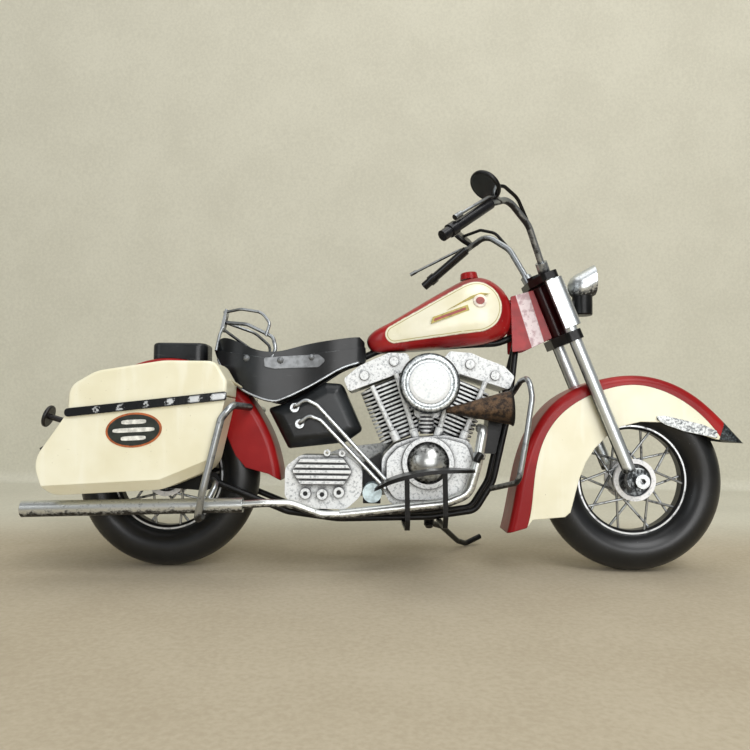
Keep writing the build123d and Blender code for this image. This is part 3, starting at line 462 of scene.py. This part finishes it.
def gusset_enamel():
    """The neck's red sheet with a pale band of painted highlight down it, beside the black neck tube."""
    f = Finish("gusset_enamel")
    slope = 0.31
    across = f.x + (f.z - 155.0) * slope
    # band: where a painted highlight runs down the sheet
    band = across.above(200.0, 200.5) * (1.0 - across.above(208.0, 208.6))
    on_sheet = f.y.math("ABSOLUTE").above(7.15, 7.25)
    tone = f.noise(7, detail=4)
    colour = f.mix((0.25, 0.007, 0.009), (0.38, 0.014, 0.016), tone.above(0.3, 0.7))
    # pale: the colour of that painted highlight
    pale = f.mix((0.50, 0.34, 0.36), (0.80, 0.68, 0.69), f.noise(3, detail=5).above(0.36, 0.56))
    colour = f.mix(colour, pale, band * on_sheet)
    colour = f.mix(colour, (0.010, 0.003, 0.004), (1.0 - on_sheet) * 0.9)
    speck = f.patches(1.0, 0.05, soft=0.02, detail=2, shift=2)
    colour = f.mix(colour, (0.03, 0.006, 0.006), (speck + f.edge(0.5) * f.patches(2, 0.5)).lower(1.0) * 0.85)
    return f.shade(
        colour, 0.28, specular_ior_level=0.2, coat_weight=0.1, coat_roughness=0.1,
        normal=f.bump(f.noise(4), 0.3, 0.4, rounding=0.5),
    )


def capsule(f, low, high):
    """Signed distance in the side view to an uneven capsule round two circles (x, z, radius)."""
    span = hypot(high[0] - low[0], high[1] - low[1])
    ahead = ((high[0] - low[0]) / span, (high[1] - low[1]) / span)
    turn = (high[2] - low[2]) / span
    lean = (1 - turn * turn) ** 0.5
    dx, dz = f.x - low[0], f.z - low[1]
    along = dx * ahead[0] + dz * ahead[1]
    across = (dx * -ahead[1] + dz * ahead[0]).math("ABSOLUTE")
    share = ((along + across * (turn / lean)) / span).higher(0.0).lower(1.0)
    return (along - share * span).length_with(across) - (share * (high[2] - low[2]) + low[2])


# circles (x, z, radius) at the rear and front ends of the tank's cream panel
PANEL_LOW = (129.3, 134.0, 5.4)
PANEL_HIGH = (176.0, 149.9, 14.6)


def tank_enamel():
    """Red tank with a cream panel and a thin gold line just inside the panel's border."""
    f = Finish("tank_enamel")
    distance = capsule(f, PANEL_LOW, PANEL_HIGH)
    wobble = (f.noise(7, detail=2) - 0.5) * 0.5
    panel = (distance + wobble).above(0.25, -0.25)
    line = (distance + wobble + 1.3).math("ABSOLUTE").above(0.34, 0.16)
    rim = (distance + wobble).math("ABSOLUTE").above(0.7, 0.1)
    tone = f.noise(26, detail=3)
    red = f.mix((0.24, 0.006, 0.008), (0.36, 0.013, 0.013), tone.above(0.3, 0.7))
    flank = f.y.math("ABSOLUTE")
    # darker red in creases and against neighbours: painted shade
    red = f.mix(red, (0.014, 0.003, 0.003), f.crease(4).above(0.3, 0.95) * 0.85)
    red = f.mix(red, (0.016, 0.003, 0.003), flank.above(7, 3) * f.z.above(150, 120) * 0.9)
    # pale glints on the rounded upper front border of each flank: painted highlight
    border_glint = (
        f.patches(2.0, 0.14, soft=0.03) * flank.above(9.5, 12.5) * f.z.above(146, 136) * f.x.above(176, 186)
    )
    red = f.mix(red, (0.80, 0.68, 0.62), border_glint)
    red = f.mix(red, (0.02, 0.004, 0.004), f.patches(1.4, 0.05, soft=0.02, shift=8) * (1.0 - panel))
    cream = f.mix((0.82, 0.78, 0.57), (0.90, 0.87, 0.70), f.noise(20).above(0.3, 0.7))
    cream = f.mix(cream, (0.42, 0.36, 0.12), line * f.noise(5).above(0.22, 0.42) * 0.85)
    colour = f.mix(red, cream, panel)
    colour = f.mix(colour, (0.20, 0.02, 0.012), rim * f.patches(3, 0.5) * 0.5)
    raise_panel = panel + f.noise(8, detail=2) * 0.5
    return f.shade(
        colour, 0.22 + f.noise(8) * 0.14, specular_ior_level=0.35, coat_weight=0.3, coat_roughness=0.12,
        normal=f.bump(raise_panel, 0.5, 0.4),
    )


def plain(name, colour, roughness, spread=0.25, size=3.0, **sockets):
    """A small trim's finish: one colour that drifts, with fine bumps."""
    f = Finish(name)
    darker = tuple(c * (1 - spread) for c in colour)
    lighter = tuple(min(1.0, c * (1 + spread)) for c in colour)
    tone = f.noise(size, detail=4)
    drift = f.mix(darker, lighter, tone.above(0.35, 0.65))
    return f.shade(drift, roughness + tone * 0.12, normal=f.bump(tone, 0.2, 0.15, rounding=0.25), **sockets)


def dome_steel():
    """Polished cap: bright at its crown, darker round its foot."""
    f = Finish("dome_steel")
    radius = (f.x - DOME_CENTRE[0]).length_with(f.z - DOME_CENTRE[1])
    blotch = f.noise(1.8, detail=5, rough=0.7)
    polish = (blotch + 0.30 - radius * 0.033).above(0.34, 0.62)
    colour = f.mix((0.035, 0.034, 0.032), (0.52, 0.53, 0.51), polish)
    return f.shade(colour, 0.24 + blotch * 0.12, metallic=0.85, normal=f.bump(blotch, 0.25, 0.2))


def air_cleaner_silver():
    """Silver cover: a white painted disc inside a stepped bright ring, dark at its outer turn."""
    f = Finish("air_cleaner_silver")
    radius = (f.x - CLEANER_CENTRE[0]).length_with(f.z - CLEANER_CENTRE[1])
    disc = radius.above(11.8, 11.2)
    ring = radius.above(11.2, 12.0) * radius.above(16.0, 14.8)
    grain = f.noise(1.3, detail=6, rough=0.7)
    white = f.mix((0.62, 0.68, 0.70), (0.86, 0.88, 0.88), grain.above(0.32, 0.50))
    silver = f.mix((0.16, 0.18, 0.19), (0.70, 0.74, 0.75), grain.above(0.36, 0.54))
    dark = f.mix((0.012, 0.014, 0.015), (0.30, 0.33, 0.34), grain.above(0.48, 0.64))
    colour = f.mix(f.mix(dark, silver, ring), white, disc)
    # darker in creases and against neighbours: painted shade
    colour = f.mix(colour, (0.015, 0.017, 0.018), f.crease(1.6).above(0.35, 0.85) * 0.8)
    return f.shade(
        colour, 0.30 + grain * 0.15, metallic=(1.0 - disc) * 0.7,
        normal=f.bump(grain, 0.25, 0.15, rounding=0.4),
    )


def glass():
    f = Finish("lens_glass")
    ribs = (f.y * (2 * pi / 1.6)).math("SINE")
    return f.shade((0.75, 0.80, 0.80), 0.12, metallic=0.4, alpha=0.85, normal=f.bump(ribs, 0.4, 0.3))


def mirror_face():
    f = Finish("mirror_face")
    haze = f.noise(4)
    return f.shade((0.50, 0.52, 0.53), 0.06 + haze * 0.12, metallic=1.0)


# ---- mesh pieces
def piece(name, points, faces, body, material, smooth=True):
    """A mesh in bike millimetres, stood on the stand and hung on its body."""
    mesh = bpy.data.meshes.new(name)
    mesh.from_pydata([tuple(UPRIGHT @ Vector(p)) for p in points], [], faces)
    work = bmesh.new()
    work.from_mesh(mesh)
    bmesh.ops.recalc_face_normals(work, faces=work.faces)
    work.to_mesh(mesh)
    work.free()
    for face in mesh.polygons:
        face.use_smooth = smooth
    made = bpy.data.objects.new(name, mesh)
    bpy.context.scene.collection.objects.link(made)
    made.data.materials.append(material)
    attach(made, body)
    return made


def smooth_loop(points, steps, closed=True):
    """Points along a smooth curve through the given ones (Catmull-Rom)."""
    count = len(points)
    found = []
    for i in range(count if closed else count - 1):
        if closed:
            a, b, c, d = (Vector(points[(i + k) % count]) for k in (-1, 0, 1, 2))
        else:
            a, b, c, d = (Vector(points[min(max(i + k, 0), count - 1)]) for k in (-1, 0, 1, 2))
        for step in range(steps):
            t = step / steps
            found.append(
                0.5 * (
                    2 * b + (c - a) * t + (2 * a - 5 * b + 4 * c - d) * t * t
                    + (3 * b - 3 * c + d - a) * t ** 3
                )
            )
    if not closed:
        found.append(Vector(points[-1]))
    return found


def rope(name, path, radius, body, material, flat=1.0):
    """A round bead or wire along a path of bike millimetres, closed at both ends."""
    line = smooth_loop(path, 6, closed=False)
    points, faces, sides = [], [], 8
    for i, here in enumerate(line):
        ahead = (line[min(i + 1, len(line) - 1)] - line[max(i - 1, 0)]).normalized()
        sideways = ahead.cross(Vector((0, 1, 0)) if abs(ahead.y) < 0.9 else Vector((0, 0, 1))).normalized()
        up = sideways.cross(ahead)
        for k in range(sides):
            turn = 2 * pi * k / sides
            points.append(here + sideways * radius * cos(turn) + up * radius * flat * sin(turn))
    for i in range(len(line) - 1):
        for k in range(sides):
            m = (k + 1) % sides
            faces.append((i * sides + k, i * sides + m, (i + 1) * sides + m, (i + 1) * sides + k))
    faces.append(tuple(range(sides)))
    faces.append(tuple(range(len(points) - sides, len(points))))
    return piece(name, points, faces, body, material)


def interpolate(x, table):
    """Value at x along a table of (x, value), straight between entries."""
    if x <= table[0][0]:
        return table[0][1]
    for (x0, v0), (x1, v1) in zip(table, table[1:]):
        if x <= x1:
            return v0 + (v1 - v0) * (x - x0) / (x1 - x0)
    return table[-1][1]


def tank_shell(material):
    """Pillowed tank: rings shrink from the side outline to a crowned flank, on both sides."""
    outline = [
        (113.2, 130), (116.5, 136), (128, 142.5), (142, 151), (157, 160), (170, 166.8), (181, 168.2),
        (191, 163), (197.4, 154), (198.6, 144), (194.2, 134.5), (183, 129.8), (168, 127.6), (150, 125.9),
        (132, 124.5), (118, 124.0),
    ]
    half_width = [
        (113, 7.0), (122, 10.6), (136, 13.6), (150, 15.6), (168, 17.0), (184, 16.6), (193, 14.6), (199, 12.0),
    ]
    loop = smooth_loop(outline, 8)
    rings, squareness = 14, 3.4
    front_heart, rear_heart = Vector((164, 147.5)), Vector((127, 132.5))
    points, faces = [], []
    for hand in (-1, 1):
        for ring in range(rings):
            size = cos(pi / 2 * ring / rings)
            rise = (1 - size ** squareness) ** (1 / squareness)
            for x, z in loop:
                share = min(1.0, max(0.0, (x - 113) / 60))
                heart = rear_heart.lerp(front_heart, share)
                here = heart + (Vector((x, z)) - heart) * size
                points.append((here.x, hand * rise * interpolate(here.x, half_width), here.y))
    count = len(loop)
    for side in range(2):
        base = side * rings * count
        for ring in range(rings - 1):
            for k in range(count):
                m = (k + 1) % count
                a = base + ring * count
                faces.append((a + k, a + m, a + count + m, a + count + k))
        last = base + (rings - 1) * count
        faces.append(tuple(last + k for k in range(count)))
    made = piece("tank_shell", points, faces, "chassis", material)
    work = bmesh.new()
    work.from_mesh(made.data)
    bmesh.ops.remove_doubles(work, verts=work.verts, dist=1e-5)
    bmesh.ops.recalc_face_normals(work, faces=work.faces)
    work.to_mesh(made.data)
    work.free()
    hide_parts("fuel_tank")


def plaque(name, outline, y, thick, body, material):
    """A thin flat badge of this side-view outline, its face away from the bike's middle."""
    hand = 1 if y > 0 else -1
    middle = sum((Vector(p) for p in outline), Vector((0, 0))) / len(outline)
    count = len(outline)
    points = [(x, y, z) for x, z in outline] + [(x, y + hand * thick, z) for x, z in outline]
    inner = [(Vector(p) - middle) * 0.9 + middle for p in outline]
    points += [(x, y + hand * thick, z) for x, z in inner]
    faces = [tuple(range(count)), tuple(range(2 * count, 3 * count))]
    for k in range(count):
        m = (k + 1) % count
        faces += [(k, m, count + m, count + k), (count + k, count + m, 2 * count + m, 2 * count + k)]
    return piece(name, points, faces, body, material, smooth=False)


def stadium(centre, half_length, half_height, slope, power):
    """A rounded-end outline (superellipse) in the side view, tilted by a slope."""
    found, steps = [], 48
    for k in range(steps):
        turn = 2 * pi * k / steps
        c, s = cos(turn), sin(turn)
        dx = half_length * (abs(c) ** (2 / power)) * (1 if c >= 0 else -1)
        dz = half_height * (abs(s) ** (2 / power)) * (1 if s >= 0 else -1)
        found.append((centre[0] + dx, centre[1] + dz + dx * slope))
    return found


# ---- finishes on the CAD nodes
def paint_nodes():
    """Gives every CAD node its finish, and hands back the finishes that the trim shares."""
    iron, cream, dull, bars = black_iron(), cream_enamel(), pewter(), bar_steel()
    finishes = {
        tyre_black(): "front_tyre rear_tyre",
        rim_black("front_rim_black", AXLE_GAP): "front_rim",
        rim_black("rear_rim_black", 0.0): "rear_rim",
        spoke_wire("spoke_wire"): "front_spokes rear_spokes",
        cast_silver(): "crankcase cam_cover gearbox_case gearbox_cover rocker_boxes case_bolts "
                       "primary_cover pushrod_tubes",
        # deep: past this depth from the middle the casting is painted black as shade
        cast_silver("barrel_silver", deep=10.5): "cylinders",
        cast_silver("carburettor_silver", deep=15.5): "carburettor",
        hub_face("front_hub_face", AXLE_GAP): "front_hub",
        hub_face("rear_hub_face", 0.0): "rear_hub",
        fender_metal(): "fender_trims",
        air_cleaner_silver(): "air_cleaner",
        dome_steel(): "timing_dome",
        plain("cap_blue_silver", (0.50, 0.60, 0.62), 0.35, metallic=0.4): "starter_cap",
        iron: "footboards footboard_brackets side_stand mirrors headlight_cup frame fork_yokes",
        satin_charcoal(): "oil_tank seat_skirt seat_pad luggage_pad",
        red_enamel(): "filler_cap front_fender_crown rear_fender",
        cream: "saddlebags saddlebag_lids front_fender_sides",
        chrome_strip(): "saddlebag_trims",
        gusset_enamel(): "steering_neck",
        dull: "oil_lines headlight_shell rear_axle front_axle fork_shroud",
        bars: "handlebars seat_rail crash_bars bag_guards",
        exhaust_pewter(): "exhaust_pipe muffler",
        fork_silver(): "fork_legs",
        horn_rust(): "horn",
        plain("grip_black", (0.008, 0.008, 0.009), 0.16, metallic=0.0): "grips",
        glass(): "headlight_lens",
        mirror_face(): "mirror_glass",
        plain("strap_grey", (0.20, 0.21, 0.22), 0.35, metallic=0.3): "seat_straps",
        plain("lamp_black", (0.012, 0.011, 0.011), 0.3): "tail_lamps",
    }
    for material, names in finishes.items():
        for name in names.split():
            node = frame["nodes"][name]
            node.data.materials.clear()
            node.data.materials.append(material)
    return {"iron": iron, "dull": dull, "bars": bars, "cream": cream}


# ---- trim made here
def seat_beads(material):
    """Folded wire edge along the bottom of the seat's skirt."""
    path = [
        (28.2, 11.5, 118.2), (32.5, 15.7, 111.6), (42.5, 20.4, 101.6), (52, 21.4, 96.7), (61.3, 21.1, 94.4),
        (68, 19.8, 96.3), (82, 15.2, 103.6), (98.5, 9.8, 113.8), (109, 7.8, 117.6),
    ]
    for hand, word in SIDES:
        edge = [(x, hand * y, z) for x, y, z in path]
        rope(f"seat_bead_{word}", edge, 0.75, "chassis", material)


def bag_badges():
    """A plain oval plaque with three rules on each saddlebag."""
    orange = plain("badge_orange", (0.42, 0.11, 0.03), 0.35)
    dark = plain("badge_dark", (0.02, 0.025, 0.02), 0.3)
    pale = plain("badge_pale", (0.72, 0.72, 0.66), 0.35)
    centre, slope = (-6.0, 77.6), 0.06
    for hand, word in SIDES:
        y = 51.0 * hand
        rim = stadium(centre, 14.5, 9.0, slope, power=2.0)
        field = stadium(centre, 13.4, 8.0, slope, power=2.0)
        plaque(f"badge_rim_{word}", rim, y, 0.25, "chassis", orange)
        plaque(f"badge_field_{word}", field, y, 0.45, "chassis", dark)
        for row, (half, rise) in enumerate(((6.4, 4.2), (10.8, 0.0), (6.4, -4.2))):
            rule = stadium((centre[0], centre[1] + rise), half, 1.15, slope, power=4.0)
            plaque(f"badge_rule_{row}_{word}", rule, y, 0.6, "chassis", pale)


def tank_emblems():
    """A gold bar with a swept feather and a ring on each flank of the tank."""
    gold = plain("emblem_gold", (0.33, 0.27, 0.07), 0.35, metallic=0.3)
    wine = plain("emblem_wine", (0.30, 0.05, 0.04), 0.35)
    pale = plain("emblem_pale", (0.80, 0.72, 0.62), 0.35)
    for hand, word in SIDES:
        y = 16.6 * hand
        bar = [(149.6, 139.4), (150.6, 143.2), (170.5, 150.6), (171.5, 147.4)]
        plaque(f"emblem_bar_{word}", bar, y, 0.55, "chassis", gold)
        core = [(151.2, 140.8), (151.7, 142.4), (169.2, 149.1), (169.7, 147.7)]
        plaque(f"emblem_core_{word}", core, y, 0.7, "chassis", wine)
        feather = [(158.5, 147.2), (172.4, 155.6), (178.0, 157.6), (183.5, 157.0), (174.0, 154.6)]
        plaque(f"emblem_feather_{word}", feather, y, 0.5, "chassis", gold)
        ring = (177.6, 153.0)
        around, heart = (stadium(ring, *half, 0.0, power=2.0) for half in ((3.9, 3.6), (2.5, 2.1)))
        plaque(f"emblem_ring_{word}", around, y, 0.75, "chassis", pale)
        plaque(f"emblem_heart_{word}", heart, y, 0.9, "chassis", wine)


def bag_ties_and_union(cream, iron):
    """Cream tie from each saddlebag to the seat, and the union where the down pipe starts."""
    for hand, word in SIDES:
        tie = [(38.2, hand * 41, 106.6), (40.6, hand * 32, 104.4), (43.6, hand * 21.4, 101.8)]
        rope(f"bag_tie_{word}", tie, 1.0, "chassis", cream, flat=0.5)
    union = [(175.6, -34.2, 66.5), (173.6, -35.4, 64.0), (173.0, -35.8, 62.6)]
    rope("pipe_union", union, 2.1, "chassis", iron)


def pipe_collar(material):
    """Clamp ring where the down pipe's two lengths meet."""
    steps, rows = 20, ((-1.6, 2.9), (-1.2, 3.4), (1.2, 3.4), (1.6, 2.9))
    heart, up, ahead = Vector((175.2, -31, 65.5)), Vector((0.17, 0, 0.985)), Vector((0.985, 0, -0.17))
    points = [
        heart + up * rise + (ahead * cos(a) + Vector((0, 1, 0)) * sin(a)) * size
        for rise, size in rows
        for a in (2 * pi * k / steps for k in range(steps))
    ]
    faces = []
    for start in range(0, (len(rows) - 1) * steps, steps):
        for k in range(steps):
            m = (k + 1) % steps
            faces.append((start + k, start + m, start + steps + m, start + steps + k))
    faces += [tuple(range(steps)), tuple(range(len(points) - steps, len(points)))]
    piece("pipe_collar", points, faces, "chassis", material)


# ---- room, light and camera
def stage_room():
    """Plain pale table that turns up into a plain wall."""
    f = Finish("room_pale")
    cloth = f.noise(2.4, detail=3) * 0.6 + f.noise(60, detail=2) * 0.4
    table = f.mix((0.40, 0.34, 0.24), (0.47, 0.41, 0.30), cloth.above(0.3, 0.7))
    wall = f.mix((0.54, 0.52, 0.42), (0.62, 0.60, 0.49), cloth.above(0.3, 0.7))
    colour = f.mix(table, wall, f.z.above(2.0, 12.0))
    material = f.shade(colour, 0.9, normal=f.bump(cloth, 0.1, 0.3))
    wall_y, radius, width, near, high = 0.300, 0.012, 2.4, -1.6, 1.9
    foot = wall_y - radius
    turns = [radians(angle) for angle in range(10, 90, 10)]
    profile = [(near, 0.0), (foot, 0.0)]
    profile += [(foot + radius * sin(a), radius - radius * cos(a)) for a in turns]
    profile += [(wall_y, radius), (wall_y, high)]
    points = [(side * width, y, z) for y, z in profile for side in (-1, 1)]
    faces = [(2 * i, 2 * i + 1, 2 * i + 3, 2 * i + 2) for i in range(len(profile) - 1)]
    mesh = bpy.data.meshes.new("room")
    mesh.from_pydata(points, [], faces)
    for face in mesh.polygons:
        face.use_smooth = True
    room = bpy.data.objects.new("room", mesh)
    bpy.context.scene.collection.objects.link(room)
    mesh.materials.append(material)


def lamp(name, place, target, size, power, colour=(1, 1, 1)):
    data = bpy.data.lights.new(name, "AREA")
    data.shape = "RECTANGLE"
    data.size, data.size_y = size
    data.energy = power
    data.color = colour
    made = bpy.data.objects.new(name, data)
    made.location = place
    made.rotation_euler = (Vector(target) - Vector(place)).to_track_quat("-Z", "Y").to_euler()
    bpy.context.scene.collection.objects.link(made)


def light_room():
    centre = (0, 0, 0.09)
    lamp("key", (0.45, -0.85, 1.0), centre, (0.7, 0.7), 9.5)
    lamp("front", (0.25, -1.25, 0.30), centre, (0.9, 0.35), 6.5)
    lamp("fill", (-0.9, -0.7, 0.5), centre, (0.5, 0.7), 2, (0.95, 0.98, 1))
    lamp("top", (0.0, -0.05, 1.2), centre, (1.2, 0.7), 4.5)
    world = bpy.data.worlds.new("studio")
    world.use_nodes = True
    back = world.node_tree.nodes["Background"]
    back.inputs["Color"].default_value = (0.95, 0.97, 1, 1)
    back.inputs["Strength"].default_value = 0.15
    bpy.context.scene.world = world
    bpy.context.scene.view_settings.view_transform = "Standard"


def place_camera():
    data = bpy.data.cameras.new("camera")
    data.sensor_width = 36
    data.lens = 36 * FOCAL
    data.clip_start = 0.01
    camera = bpy.data.objects.new("camera", data)
    camera.location = ((EYE[0] - MID_X) / 1000, (EYE[1] - MID_Y) / 1000, EYE[2] / 1000)
    camera.rotation_euler = (pi / 2, -ROLL, 0)
    bpy.context.scene.collection.objects.link(camera)
    bpy.context.scene.camera = camera


paints = paint_nodes()
tank_shell(tank_enamel())
seat_beads(paints["bars"])
bag_badges()
tank_emblems()
bag_ties_and_union(paints["cream"], paints["iron"])
pipe_collar(paints["dull"])
stage_room()
light_room()
place_camera()
